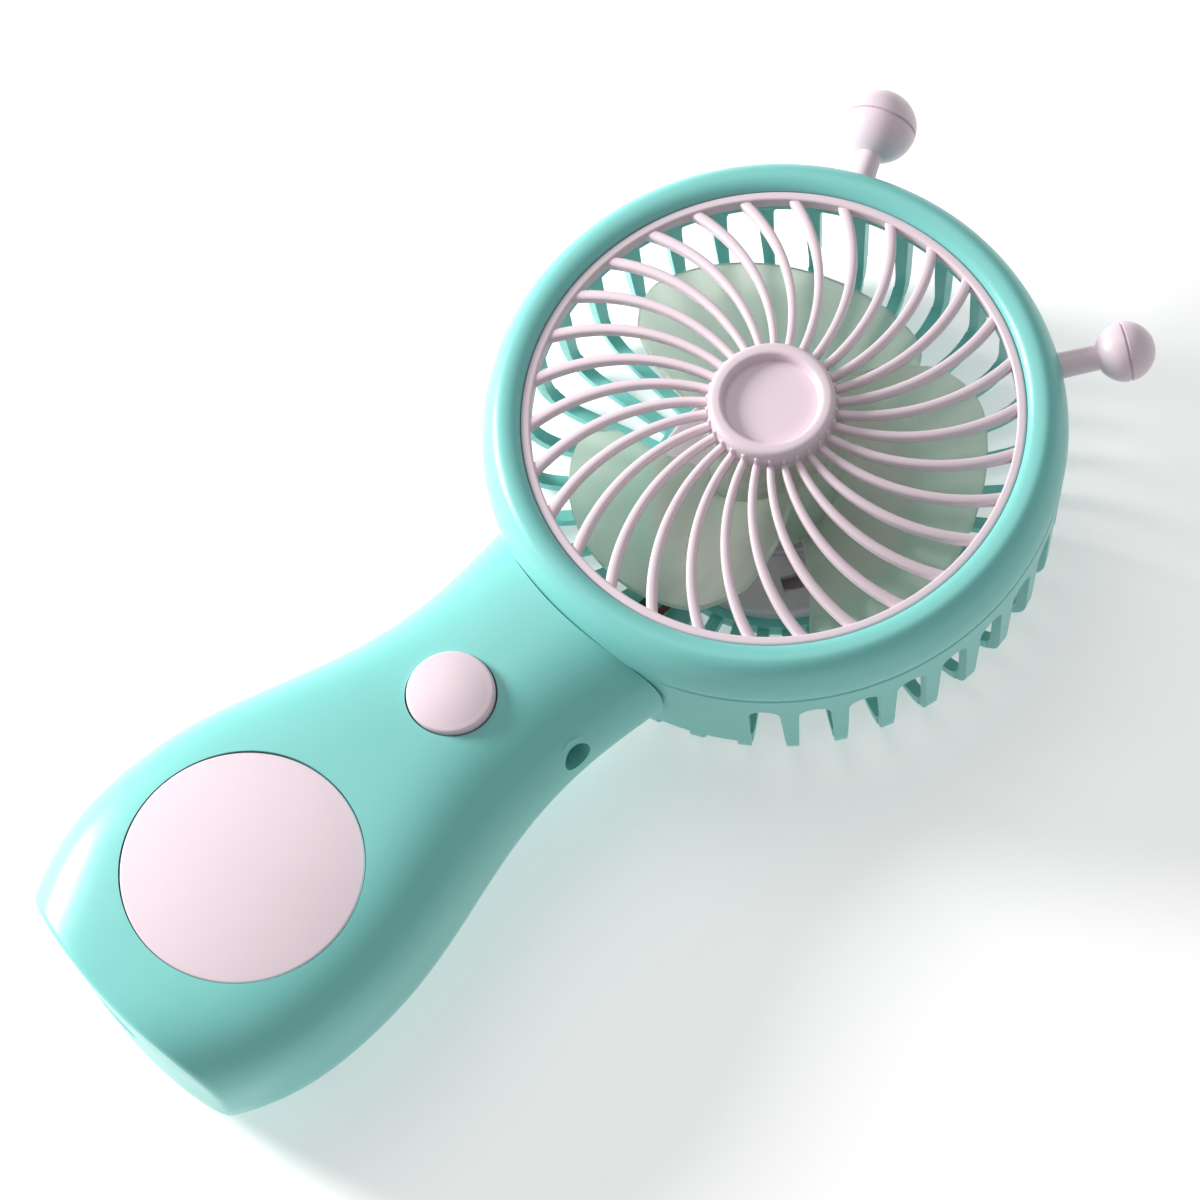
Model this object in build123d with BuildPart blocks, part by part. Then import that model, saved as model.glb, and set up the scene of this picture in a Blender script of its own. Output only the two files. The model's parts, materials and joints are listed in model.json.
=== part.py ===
from build123d import *
import math
import os

os.makedirs("parts", exist_ok=True)

# Handheld electric fan, lying on its back. Millimetres.
# The head's axis is the Z axis: +Z is the way the air leaves, Z = 0 is the surface the fan lies on.
# +Y runs from the handle's base to the head, +X is to the right when the grille is looked at.

# ------------------------------------------------------------------ driving dimensions: head
HEAD_R = 50.0  # largest radius of the head
WALL = 2.0  # wall of every moulded shell
FIT_GAP = 0.2  # gap between a part and the hole that it drops into
HEAD_JOINT_Z = 29.0  # the bezel meets the cage here
BEZEL_SIDE_Z = 31.0  # the bezel's straight side ends, its rounded front begins
BEZEL_CREST_R = 46.0
BEZEL_CREST_Z = 38.6
BEZEL_LIP_Z = 37.2  # inner edge of the rounded front
LEDGE_R = 41.4  # the grille rests on this ledge
LEDGE_Z = 34.6
SPIGOT = 2.5  # the bezel reaches this far into the cage
SPIGOT_R = 47.6
JOINT_BEVEL = 0.35

GRILLE_R = 42.8
GRILLE_RIM_W = 1.6
GRILLE_RIM_Z = 37.0
GRILLE_HUB_R = 11.4
GRILLE_HUB_Z = 43.0
GRILLE_DISH_R = 8.5  # recess in the middle of the hub
GRILLE_DISH_Z = 41.2
HUB_BACK_Z = 38.0
SPOKES = 30
SPOKE_START = 4.0  # angle of the first spoke's root
SPOKE_TURN = 55.0  # how far a spoke turns on its way out
SPOKE_ARC_R = 35.1
SPOKE_ROOT_R = 10.5
SPOKE_W = (1.3, 1.9)  # at the hub, at the rim
SPOKE_DEPTH = 1.9
SPOKE_TOP = ((10.0, 40.2), (28.0, 39.0), (42.0, 36.7))  # front line of a spoke, radius and height

CAGE_R = (49.8, 48.3)  # outside radius at the joint and above the rounded rear edge
CAGE_CORNER = 8.0  # radius of the rounded rear edge
CAGE_HUB_R = 24.5
CAGE_HUB_Z = 3.2
CAGE_RIBS = 36
RIB_W = 2.1
SLOT_TOP_Z = 24.0
SLOT_ARCH_R = 2.7
CLOSED_SLOTS = (-125, -115, -105, -95, -85, -75, -65, -55)  # beside the neck the cage wall stays closed
DUCT_SLOTS = (-95, -85)  # the back is closed too where the motor leads run

ANTENNA_ANGLE = 30.0  # either side of +Y
ANTENNA_Z = 31.5
ANTENNA_R = 61.3  # head axis to ball centre
ANTENNA_BALL_D = {"left": 13.0, "right": 10.4}
STEM_R = 2.25
STEM_FROM = 48.2
GROOVE = 0.5

# ------------------------------------------------------------------ driving dimensions: fan drive
MOUNT_HOLE_R = 20.0
MOUNT_R = 23.0
MOUNT_FLANGE_Z = 4.6
COVER_Z = 6.0
COVER_SLOT = (3.0, 8.4)  # radial width and length
COVER_SLOT_AT = (17.2, -28.0)  # radius and angle of its middle
LEAD_NOTCH_W = 5.6
MOUNT_SCREW_AT = 21.6
MOUNT_SCREW_R = 0.9
MOUNT_SCREW_HEAD_R = 1.6
MOUNT_SCREW_SEAT_Z = 1.2
MOTOR_R = 10.0
MOTOR_FLOOR_Z = 2.2
MOTOR_TOP_Z = 22.0
CUP_TOP_Z = 7.6
SHAFT_R = 1.0
SHAFT_Z = (2.6, 29.6)
SHAFT_CLEARANCE = 0.04
ROTOR_R = 6.6
MAGNET_R = (7.3, 9.2)
MAGNET_Z = (6.0, 18.0)
MAGNET_GAP = 5.0  # between the two magnets
ROTOR_Z = (7.0, 17.0)
ROTOR_SLOT = (5.0, 1.2)
COLLAR_R = 2.6  # spacer under the rotor
COLLAR_Z = 5.4

IMPELLER_HUB_R = 12.0
IMPELLER_HUB_Z = (9.5, 31.0)
BLADE_R = 36.5
BLADES = 3
BLADE_FRONT_Z = 32.0
BLADE_BACK_Z = 10.0
BLADE_SPAN = 98.0  # degrees from front edge to back edge
BLADE_FRONT_ANGLE = 186.0
BLADE_T = 1.3
# length of the blade from the axis at stations along its span: the corners are rounded
BLADE_OUTLINE = ((0, 31.0), (0.05, 34.4), (0.14, 36.2), (0.35, BLADE_R), (0.65, BLADE_R), (0.88, 36.0), (1, 31.5))

# ------------------------------------------------------------------ driving dimensions: handle
# stations along the handle: y, half width, front z, back z, squareness of the front and of the back
HANDLE_STATIONS = (
    (-40.0, 21.6, 34.6, 7.4, 2.4, 2.3),
    (-51.0, 20.3, 34.0, 7.6, 2.4, 2.3),
    (-62.0, 19.8, 33.7, 7.4, 2.4, 2.3),
    (-73.0, 20.6, 33.8, 6.2, 2.6, 2.3),
    (-85.0, 23.1, 34.6, 3.9, 3.0, 2.3),
    (-97.0, 26.4, 35.3, 1.7, 3.6, 2.4),
    (-109.0, 29.1, 35.7, 0.4, 4.1, 2.4),
    (-121.0, 30.1, 35.8, 0.0, 4.2, 2.4),
    (-133.0, 29.2, 35.4, 0.5, 3.8, 2.4),
    (-143.0, 25.9, 34.5, 1.9, 3.2, 2.4),
    (-153.0, 20.4, 33.2, 4.2, 2.8, 2.4),
)
SECTION_POINTS = 36
BASE_Y = -148.4  # lowest point of the gently convex base
BASE_R = 97.0
BASE_SLANT = 4.0  # degrees, the base leans back
SHELL_SPLIT_Z = 13.0
NECK_GAP = 0.15

BUTTON_Y = -73.0
BUTTON_R = 7.5
BUTTON_GAP = 0.3
BUTTON_RIM_Z = 34.7
BUTTON_DOME_Z = 35.9
BUTTON_FLANGE_R = 8.8
BUTTON_FLANGE_Z = (29.8, 30.6)
BUTTON_STEM_R = 2.0
PLUNGER_R = 1.7
PLUNGER_Z = (26.4, 28.8)

DISC_Y = -118.6
DISC_R = 20.4
DISC_EDGE_Z = 35.1
DISC_DOME_Z = 36.4
DISC_T = 1.8

LANYARD_Y = -63.0
LANYARD_Z = 21.8  # height of the hole's middle
LANYARD_TILT = 6.0  # degrees, the hole's right end is the higher one
LANYARD_R = 2.7
LANYARD_WALL = 1.2

BOARD_Z = (22.8, 24.0)
BOARD_Y = (-68.2, -96.0)
BOARD_HALF_W = 11.0
SWITCH_W = 6.0
SWITCH_TOP_Z = 27.8
CELL_Y = (-90.5, -128.5)
CELL_HALF_W = 13.5
CELL_Z = (6.2, 16.0)
PORT_Z = 18.0
PORT_SIZE = (9.0, 7.4, 3.3)
PORT_MOUTH = 0.7  # the port's mouth lies this far inside the base
PORT_WALL = 0.4
PORT_TONGUE = (6.4, 0.8)  # width and thickness of the contact tongue
PORT_TONGUE_INSET = 1.2  # the tongue starts this far inside the mouth
CHARGE_BOARD_Y = (-145.2, -134.5)
CHARGE_BOARD_W = 18.0
BOARD_T = 1.2
CHIP_SIZE = (4.8, 4.0, 1.4)
CHIP_PLACES = ((4.5, -87.0), (-5.0, -83.0), (-5.0, -91.0))
LED_X = -13.0
LED_R = 1.3
SCREWS = ((15.2, -77.0, 10.9), (21.6, -125.5, 6.6))  # x, y and seat of a screw, mirrored to the other side
SCREW_R = 1.25
SCREW_HEAD_R = 2.3
SCREW_HEAD_H = 1.5
SCREW_L = 10.0
CROSS_L, CROSS_W, CROSS_DEPTH = 2.6, 0.6, 1.4  # recess for the driver
BOSS_R = 2.9
TONGUE_HALF_W = 12.0
TONGUE_Y = (-46.6, -57.6)
TONGUE_Z = (12.4, 19.8)
WINDOW = (9.0, 5.0)  # opening for the leads through the cage wall and the tongue
LEAD_R = 0.65


def outline(points):
    """Closed outline of radius and height, in the plane through the head's axis."""
    with BuildSketch(Plane.XZ) as sketch:
        with BuildLine():
            Polyline(*points, close=True)
        make_face()
    return sketch.sketch


def dome(edge_r, edge_z, top_z):
    """Arc from the edge of a shallow dome to its top, which lies on the sketch's vertical axis."""
    rise = top_z - edge_z
    ball_r = (edge_r**2 + rise**2) / (2 * rise)
    half_angle = math.degrees(math.asin(edge_r / ball_r))
    return CenterArc((0, top_z - ball_r), ball_r, 90 - half_angle, half_angle)


def save(piece, name):
    """Label one finished piece and write it."""
    piece.part.label = name
    export_step(piece.part, f"parts/{name}.step")


def tube_profile(r_in, r_out, z_low, z_high):
    """Rectangle for a ring, in the sketch plane whose axes are radius and Z."""
    with Locations(((r_in + r_out) / 2, (z_low + z_high) / 2)):
        Rectangle(r_out - r_in, z_high - z_low)


# ------------------------------------------------------------------ head: bezel
with BuildPart() as bezel_ring:
    with BuildSketch(Plane.XZ):
        with BuildLine():
            Polyline(
                (SPIGOT_R, HEAD_JOINT_Z),
                (HEAD_R - JOINT_BEVEL, HEAD_JOINT_Z),
                (HEAD_R, HEAD_JOINT_Z + JOINT_BEVEL),
                (HEAD_R, BEZEL_SIDE_Z),
            )
            EllipticalCenterArc(
                (BEZEL_CREST_R, BEZEL_SIDE_Z), HEAD_R - BEZEL_CREST_R, BEZEL_CREST_Z - BEZEL_SIDE_Z, arc_size=90
            )
            ThreePointArc(
                (BEZEL_CREST_R, BEZEL_CREST_Z), (44.2, 38.25), (GRILLE_R + FIT_GAP, BEZEL_LIP_Z)
            )
            Polyline(
                (GRILLE_R + FIT_GAP, BEZEL_LIP_Z),
                (GRILLE_R + FIT_GAP, LEDGE_Z),
                (LEDGE_R, LEDGE_Z),
                (LEDGE_R, LEDGE_Z - 1.2),
                (SPIGOT_R - WALL, BEZEL_SIDE_Z + 0.6),
                (SPIGOT_R - WALL, HEAD_JOINT_Z - SPIGOT),
                (SPIGOT_R, HEAD_JOINT_Z - SPIGOT),
                (SPIGOT_R, HEAD_JOINT_Z),
            )
        make_face()
    revolve(axis=Axis.Z)
    for side in (-1, 1):
        angle = 90 - side * ANTENNA_ANGLE
        direction = Vector(math.cos(math.radians(angle)), math.sin(math.radians(angle)), 0)
        with BuildSketch(Plane(direction * STEM_FROM + Vector(0, 0, ANTENNA_Z), z_dir=direction)):
            Circle(STEM_R)
        extrude(amount=6, mode=Mode.SUBTRACT)
save(bezel_ring, "bezel_ring")

# ------------------------------------------------------------------ head: front grille
with BuildPart() as spoke_shell:
    with BuildSketch(Plane.XZ):
        with BuildLine():
            top = ThreePointArc(*SPOKE_TOP)
            bottom = ThreePointArc(*[(r, z - SPOKE_DEPTH) for r, z in SPOKE_TOP])
            Line(top @ 0, bottom @ 0)
            Line(top @ 1, bottom @ 1)
        make_face()
    revolve(axis=Axis.Z)

spoke_turn = math.radians(SPOKE_TURN)


def spoke_point(share, offset):
    """Point on a spoke's centre arc at a share of its turn, moved sideways by offset."""
    angle = spoke_turn * share
    radius = SPOKE_ARC_R - offset
    return (SPOKE_ROOT_R + radius * math.sin(angle), SPOKE_ARC_R - radius * math.cos(angle))


with BuildPart() as front_grille:
    with BuildSketch(Plane.XY.offset(HUB_BACK_Z - 6)):
        with PolarLocations(0, SPOKES, start_angle=SPOKE_START):
            with BuildLine(mode=Mode.PRIVATE) as spoke_edge:
                half = [(SPOKE_W[0] + (SPOKE_W[1] - SPOKE_W[0]) * share) / 2 for share in (0, 0.5, 1)]
                left = ThreePointArc(*[spoke_point(share, w) for share, w in zip((0, 0.5, 1), half)])
                right = ThreePointArc(*[spoke_point(share, -w) for share, w in zip((0, 0.5, 1), half)])
                Line(left @ 0, right @ 0)
                Line(left @ 1, right @ 1)
            add(make_face(spoke_edge.edges(), mode=Mode.PRIVATE))
    extrude(amount=12)
    add(spoke_shell.part, mode=Mode.INTERSECT)
    with BuildSketch(Plane.XZ):
        tube_profile(GRILLE_R - GRILLE_RIM_W, GRILLE_R, LEDGE_Z, GRILLE_RIM_Z)
    revolve(axis=Axis.Z)
    with BuildSketch(Plane.XZ):
        with BuildLine():
            Polyline(
                (0, GRILLE_DISH_Z - 1.5),
                (GRILLE_DISH_R, GRILLE_DISH_Z - 1.5),
                (GRILLE_DISH_R + 0.8, HUB_BACK_Z),
                (GRILLE_HUB_R, HUB_BACK_Z),
                (GRILLE_HUB_R - 0.5, GRILLE_HUB_Z - 1.3),
            )
            ThreePointArc(
                (GRILLE_HUB_R - 0.5, GRILLE_HUB_Z - 1.3),
                (GRILLE_HUB_R - 0.95, GRILLE_HUB_Z - 0.35),
                (GRILLE_HUB_R - 1.8, GRILLE_HUB_Z),
            )
            ThreePointArc(
                (GRILLE_HUB_R - 1.8, GRILLE_HUB_Z),
                (GRILLE_DISH_R + 0.35, GRILLE_HUB_Z - 0.3),
                (GRILLE_DISH_R, GRILLE_HUB_Z - 0.9),
            )
            ThreePointArc(
                (GRILLE_DISH_R, GRILLE_HUB_Z - 0.9),
                (GRILLE_DISH_R - 0.4, GRILLE_DISH_Z + 0.3),
                (GRILLE_DISH_R - 1.1, GRILLE_DISH_Z),
            )
            Polyline(
                (GRILLE_DISH_R - 1.1, GRILLE_DISH_Z),
                (0, GRILLE_DISH_Z),
                (0, GRILLE_DISH_Z - 1.5),
            )
        make_face()
    revolve(axis=Axis.Z)
save(front_grille, "front_grille")

# ------------------------------------------------------------------ head: rear cage
corner_r = CAGE_R[1] - CAGE_CORNER
inner_corner = CAGE_CORNER - WALL

with BuildPart() as slot_cutter:
    # the part of a slot that is in the side wall, with an arched front end
    with BuildSketch(Plane(origin=(45.4, 0, 0), x_dir=(0, 1, 0), z_dir=(1, 0, 0))):
        with BuildLine():
            half_low = 47 * math.sin(math.pi / CAGE_RIBS) - RIB_W / 2
            arch_z = SLOT_TOP_Z - SLOT_ARCH_R
            Polyline((-SLOT_ARCH_R, arch_z), (-half_low, CAGE_CORNER), (-half_low, -2), (half_low, -2))
            Polyline((half_low, -2), (half_low, CAGE_CORNER), (SLOT_ARCH_R, arch_z))
            RadiusArc((SLOT_ARCH_R, arch_z), (-SLOT_ARCH_R, arch_z), -SLOT_ARCH_R - 0.001)
        make_face()
    extrude(amount=6)
with BuildPart() as back_cutter:
    # the part of a slot that is in the back
    with BuildSketch(Plane.XY.offset(-2)):
        with BuildLine():
            near = CAGE_HUB_R * math.sin(math.pi / CAGE_RIBS) - RIB_W / 2
            far = HEAD_R * math.sin(math.pi / CAGE_RIBS) - RIB_W / 2
            Polyline((CAGE_HUB_R, -near), (HEAD_R, -far), (HEAD_R, far), (CAGE_HUB_R, near), close=True)
        make_face()
    extrude(amount=CAGE_CORNER + 2)

with BuildPart() as rear_cage:
    with BuildSketch(Plane.XZ):
        with BuildLine():
            Polyline(
                (corner_r, 0),
                (MOUNT_HOLE_R, 0),
                (MOUNT_HOLE_R, CAGE_HUB_Z),
                (CAGE_HUB_R, CAGE_HUB_Z),
                (CAGE_HUB_R, WALL),
                (corner_r, WALL),
            )
            ThreePointArc(
                (corner_r, WALL),
                (corner_r + inner_corner * math.sin(math.pi / 4), CAGE_CORNER - inner_corner * math.cos(math.pi / 4)),
                (corner_r + inner_corner, CAGE_CORNER),
            )
            Polyline(
                (corner_r + inner_corner, CAGE_CORNER),
                (SPIGOT_R + FIT_GAP, HEAD_JOINT_Z),
                (CAGE_R[0] - JOINT_BEVEL, HEAD_JOINT_Z),
                (CAGE_R[0], HEAD_JOINT_Z - JOINT_BEVEL),
                (CAGE_R[1], CAGE_CORNER),
            )
            ThreePointArc(
                (CAGE_R[1], CAGE_CORNER),
                (corner_r + CAGE_CORNER * math.sin(math.pi / 4), CAGE_CORNER * (1 - math.cos(math.pi / 4))),
                (corner_r, 0),
            )
        make_face()
    revolve(axis=Axis.Z)
    pitch = 360 // CAGE_RIBS
    for middle in range(-175, 185, pitch):
        if middle not in CLOSED_SLOTS:
            add(slot_cutter.part.rotate(Axis.Z, middle), mode=Mode.SUBTRACT)
        if middle not in DUCT_SLOTS:
            add(back_cutter.part.rotate(Axis.Z, middle), mode=Mode.SUBTRACT)
    # hollow tongue that the handle's two shells close around
    tongue_mid_z = (TONGUE_Z[0] + TONGUE_Z[1]) / 2
    with BuildSketch(Plane(origin=(0, TONGUE_Y[1], tongue_mid_z), x_dir=(1, 0, 0), z_dir=(0, 1, 0))):
        Rectangle(2 * TONGUE_HALF_W, TONGUE_Z[1] - TONGUE_Z[0])
    extrude(amount=TONGUE_Y[0] - TONGUE_Y[1])
    with BuildSketch(Plane(origin=(0, TONGUE_Y[1] - 1, tongue_mid_z), x_dir=(1, 0, 0), z_dir=(0, 1, 0))):
        Rectangle(*WINDOW)
    extrude(amount=14, mode=Mode.SUBTRACT)
    with PolarLocations(MOUNT_SCREW_AT, 3, start_angle=90):
        Cylinder(MOUNT_SCREW_R + 0.05, 20, mode=Mode.SUBTRACT)
        Cylinder(MOUNT_SCREW_HEAD_R + 0.1, 2 * MOUNT_SCREW_SEAT_Z, mode=Mode.SUBTRACT)
save(rear_cage, "rear_cage")

# ------------------------------------------------------------------ head: antennae
for side, name in ((-1, "left"), (1, "right")):
    angle = 90 - side * ANTENNA_ANGLE
    direction = Vector(math.cos(math.radians(angle)), math.sin(math.radians(angle)), 0)
    centre = direction * ANTENNA_R + Vector(0, 0, ANTENNA_Z)
    ball_r = ANTENNA_BALL_D[name] / 2
    with BuildPart() as stem:
        with BuildSketch(Plane(direction * STEM_FROM + Vector(0, 0, ANTENNA_Z), z_dir=direction)):
            Circle(STEM_R)
        extrude(amount=ANTENNA_R - ball_r * 0.5 - STEM_FROM)
    save(stem, f"antenna_stem_{name}")
    with BuildPart() as ball:
        with Locations(Plane(centre, z_dir=direction)):
            Sphere(ball_r)
            with BuildSketch(Plane(centre, x_dir=(0, 0, 1), z_dir=direction)):
                Circle(ball_r + 1)
                Circle(ball_r - GROOVE, mode=Mode.SUBTRACT)
        extrude(amount=GROOVE / 2, both=True, mode=Mode.SUBTRACT)
        add(stem.part, mode=Mode.SUBTRACT)
    save(ball, f"antenna_ball_{name}")

# ------------------------------------------------------------------ motor and its mount
with BuildPart() as motor_mount:
    revolve(outline((
        (0, 0),
        (MOUNT_HOLE_R - FIT_GAP, 0),
        (MOUNT_HOLE_R - FIT_GAP, CAGE_HUB_Z),
        (MOUNT_R, CAGE_HUB_Z),
        (MOUNT_R, MOUNT_FLANGE_Z),
        (MOUNT_HOLE_R - WALL, MOUNT_FLANGE_Z),
        (MOUNT_HOLE_R - WALL, MOTOR_FLOOR_Z),
        (MOTOR_R + WALL, MOTOR_FLOOR_Z),
        (MOTOR_R + WALL, CUP_TOP_Z),
        (MOTOR_R, CUP_TOP_Z),
        (MOTOR_R, MOTOR_FLOOR_Z),
        (0, MOTOR_FLOOR_Z),
    )), axis=Axis.Z)
    # notch that the leads leave through
    with BuildSketch(Plane.XY.offset(CAGE_HUB_Z)):
        with Locations((0, -(MOTOR_R + WALL + MOUNT_R) / 2 - 2)):
            Rectangle(LEAD_NOTCH_W, MOUNT_R - MOTOR_R - WALL)
    extrude(amount=WALL, mode=Mode.SUBTRACT)
    with PolarLocations(MOUNT_SCREW_AT, 3, start_angle=90):
        Cylinder(MOUNT_SCREW_R, 20, mode=Mode.SUBTRACT)
save(motor_mount, "motor_mount")

with BuildPart() as motor_cover:
    with BuildSketch(Plane.XY.offset(MOUNT_FLANGE_Z)):
        Circle(MOUNT_R)
        Circle(MOTOR_R + WALL + 0.1, mode=Mode.SUBTRACT)
        with PolarLocations(COVER_SLOT_AT[0], 1, start_angle=COVER_SLOT_AT[1]):
            Rectangle(*COVER_SLOT, mode=Mode.SUBTRACT)
    extrude(amount=COVER_Z - MOUNT_FLANGE_Z)
    outer_edge = motor_cover.edges().filter_by(GeomType.CIRCLE).sort_by(SortBy.RADIUS)[-2:]
    fillet(outer_edge.sort_by(Axis.Z)[-1], 0.7)
save(motor_cover, "motor_cover")

with BuildPart() as mount_screws:
    with PolarLocations(MOUNT_SCREW_AT, 3, start_angle=90):
        with Locations((0, 0, MOUNT_SCREW_SEAT_Z)):
            Cylinder(MOUNT_SCREW_HEAD_R, 1.0, align=(Align.CENTER, Align.CENTER, Align.MAX))
            Cylinder(MOUNT_SCREW_R, 3.2, align=(Align.CENTER, Align.CENTER, Align.MIN))
        with Locations((0, 0, MOUNT_SCREW_SEAT_Z - 1.0)):
            Box(1.8, 0.4, 0.8, mode=Mode.SUBTRACT)
            Box(0.4, 1.8, 0.8, mode=Mode.SUBTRACT)
save(mount_screws, "mount_screws")

CAN_WALL = 0.8
BUSH_R = (2.2, 2.6)  # rear and front
with BuildPart() as motor_can:
    revolve(outline((
        (MOTOR_R - CAN_WALL, MOTOR_FLOOR_Z),
        (MOTOR_R, MOTOR_FLOOR_Z),
        (MOTOR_R, MOTOR_TOP_Z),
        (BUSH_R[1], MOTOR_TOP_Z),
        (BUSH_R[1], MOTOR_TOP_Z - CAN_WALL),
        (MOTOR_R - CAN_WALL, MOTOR_TOP_Z - CAN_WALL),
    )), axis=Axis.Z)
save(motor_can, "motor_can")

with BuildPart() as motor_end_cap:
    with BuildSketch(Plane.XZ):
        tube_profile(BUSH_R[0], MOTOR_R - CAN_WALL, MOTOR_FLOOR_Z, MOTOR_FLOOR_Z + 1.8)
    revolve(axis=Axis.Z)
save(motor_end_cap, "motor_end_cap")

bushings = (("rear", BUSH_R[0], MOTOR_FLOOR_Z, 5.0), ("front", BUSH_R[1], MOTOR_TOP_Z - 2.2, MOTOR_TOP_Z + 1.0))
for name, radius, z_low, z_high in bushings:
    with BuildPart() as bushing:
        with BuildSketch(Plane.XZ):
            tube_profile(SHAFT_R + SHAFT_CLEARANCE, radius, z_low, z_high)
        revolve(axis=Axis.Z)
    save(bushing, f"motor_bushing_{name}")

with BuildPart() as motor_magnets:
    with BuildSketch(Plane.XY.offset(MAGNET_Z[0])):
        Circle(MAGNET_R[1])
        Circle(MAGNET_R[0], mode=Mode.SUBTRACT)
        Rectangle(MAGNET_GAP, 3 * MAGNET_R[1], mode=Mode.SUBTRACT)
    extrude(amount=MAGNET_Z[1] - MAGNET_Z[0])
save(motor_magnets, "motor_magnets")

with BuildPart() as motor_shaft:
    with BuildSketch(Plane.XY.offset(SHAFT_Z[0])):
        Circle(SHAFT_R)
    extrude(amount=SHAFT_Z[1] - SHAFT_Z[0])
save(motor_shaft, "motor_shaft")

with BuildPart() as rotor_core:
    with BuildSketch(Plane.XY.offset(ROTOR_Z[0])):
        Circle(ROTOR_R)
        with PolarLocations(ROTOR_R - 1.4, 3):
            Rectangle(*ROTOR_SLOT, mode=Mode.SUBTRACT)
        Circle(SHAFT_R, mode=Mode.SUBTRACT)
    extrude(amount=ROTOR_Z[1] - ROTOR_Z[0])
    with BuildSketch(Plane.XY.offset(COLLAR_Z)):
        Circle(COLLAR_R)
        Circle(SHAFT_R, mode=Mode.SUBTRACT)
    extrude(amount=ROTOR_Z[0] - COLLAR_Z)
save(rotor_core, "rotor_core")

# ------------------------------------------------------------------ impeller
with BuildPart() as impeller:
    hub_low, hub_high = IMPELLER_HUB_Z
    for blade in range(BLADES):
        with BuildPart(mode=Mode.PRIVATE) as one_blade:
            for share, length in BLADE_OUTLINE:
                angle = math.radians(BLADE_FRONT_ANGLE + 360 / BLADES * blade - BLADE_SPAN * share)
                outward = Vector(math.cos(angle), math.sin(angle), 0)
                height = BLADE_FRONT_Z + (BLADE_BACK_Z - BLADE_FRONT_Z) * share
                plane = Plane(origin=(0, 0, height), x_dir=outward, z_dir=outward.rotate(Axis.Z, -90))
                with BuildSketch(plane):
                    with Locations(((length + IMPELLER_HUB_R - 0.8) / 2, 0)):
                        Rectangle(length - IMPELLER_HUB_R + 0.8, BLADE_T)
            loft()
        add(one_blade.part)
    revolve(outline((
        (MOTOR_R + 0.6, hub_low),
        (IMPELLER_HUB_R, hub_low),
        (IMPELLER_HUB_R, hub_high - 1.6),
        (IMPELLER_HUB_R - 0.5, hub_high - 0.5),
        (IMPELLER_HUB_R - 1.6, hub_high),
        (0, hub_high + 0.3),
        (0, SHAFT_Z[1]),
        (SHAFT_R, SHAFT_Z[1]),
        (SHAFT_R, 24),
        (3.2, 24),
        (3.2, hub_high - 2.4),
        (MOTOR_R + 0.6, hub_high - 2.4),
    )), axis=Axis.Z)
save(impeller, "impeller")

# ------------------------------------------------------------------ handle
def section_point(share, half_w, half_h, front_power, back_power):
    """Point of the handle's rounded section, at a share of the way round."""
    angle = 2 * math.pi * share
    power = 2 / (front_power if math.sin(angle) >= 0 else back_power)
    x = math.copysign(abs(math.cos(angle)) ** power, math.cos(angle))
    z = math.copysign(abs(math.sin(angle)) ** power, math.sin(angle))
    return (half_w * x, half_h * z)


def handle_solid(inset):
    """The handle's outer shape, made smaller by inset on every side; open towards the head."""
    with BuildPart() as shape:
        for y, half_w, front_z, back_z, front_power, back_power in HANDLE_STATIONS:
            sizes = (half_w - inset, (front_z - back_z) / 2 - inset, front_power, back_power)
            plane = Plane(origin=(0, y, (front_z + back_z) / 2), x_dir=(1, 0, 0), z_dir=(0, -1, 0))
            with BuildSketch(plane):
                with BuildLine():
                    Spline(*[section_point(i / SECTION_POINTS, *sizes) for i in range(SECTION_POINTS)], periodic=True)
                make_face()
        loft()
        slant = math.radians(BASE_SLANT)
        with BuildSketch(Plane(origin=(0, 0, PORT_Z), x_dir=(1, 0, 0), z_dir=(0, -math.sin(slant), math.cos(slant)))):
            with Locations((0, BASE_Y + BASE_R)):
                Circle(BASE_R - inset)
        extrude(amount=60, both=True, mode=Mode.INTERSECT)
        with BuildSketch(Plane.XY):
            Circle(HEAD_R + NECK_GAP)
        extrude(amount=60, mode=Mode.SUBTRACT)
    return shape.part


outer = handle_solid(0)
cavity = handle_solid(WALL)
screw_places = [(side * x, y, seat) for x, y, seat in SCREWS for side in (-1, 1)]
button_axis = Axis((0, BUTTON_Y, 0), (0, 0, 1))
disc_axis = Axis((0, DISC_Y, 0), (0, 0, 1))

with BuildPart() as bosses:
    with Locations(*[(x, y, 18) for x, y, seat in screw_places]):
        Cylinder(BOSS_R, 40)
    add(outer, mode=Mode.INTERSECT)
lanyard_tilt = math.radians(LANYARD_TILT)
lanyard_plane = Plane(
    origin=(0, LANYARD_Y, LANYARD_Z),
    x_dir=(0, 1, 0),
    z_dir=(math.cos(lanyard_tilt), 0, math.sin(lanyard_tilt)),
)
with BuildPart() as lanyard_tunnel:
    with BuildSketch(lanyard_plane):
        Circle(LANYARD_R + LANYARD_WALL)
    extrude(amount=30, both=True)
    add(outer, mode=Mode.INTERSECT)
with BuildPart() as disc_pad:
    with Locations((0, DISC_Y, DISC_EDGE_Z - DISC_T - 1.5)):
        Cylinder(DISC_R + WALL, 4, align=(Align.CENTER, Align.CENTER, Align.MIN))
    add(outer, mode=Mode.INTERSECT)

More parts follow.
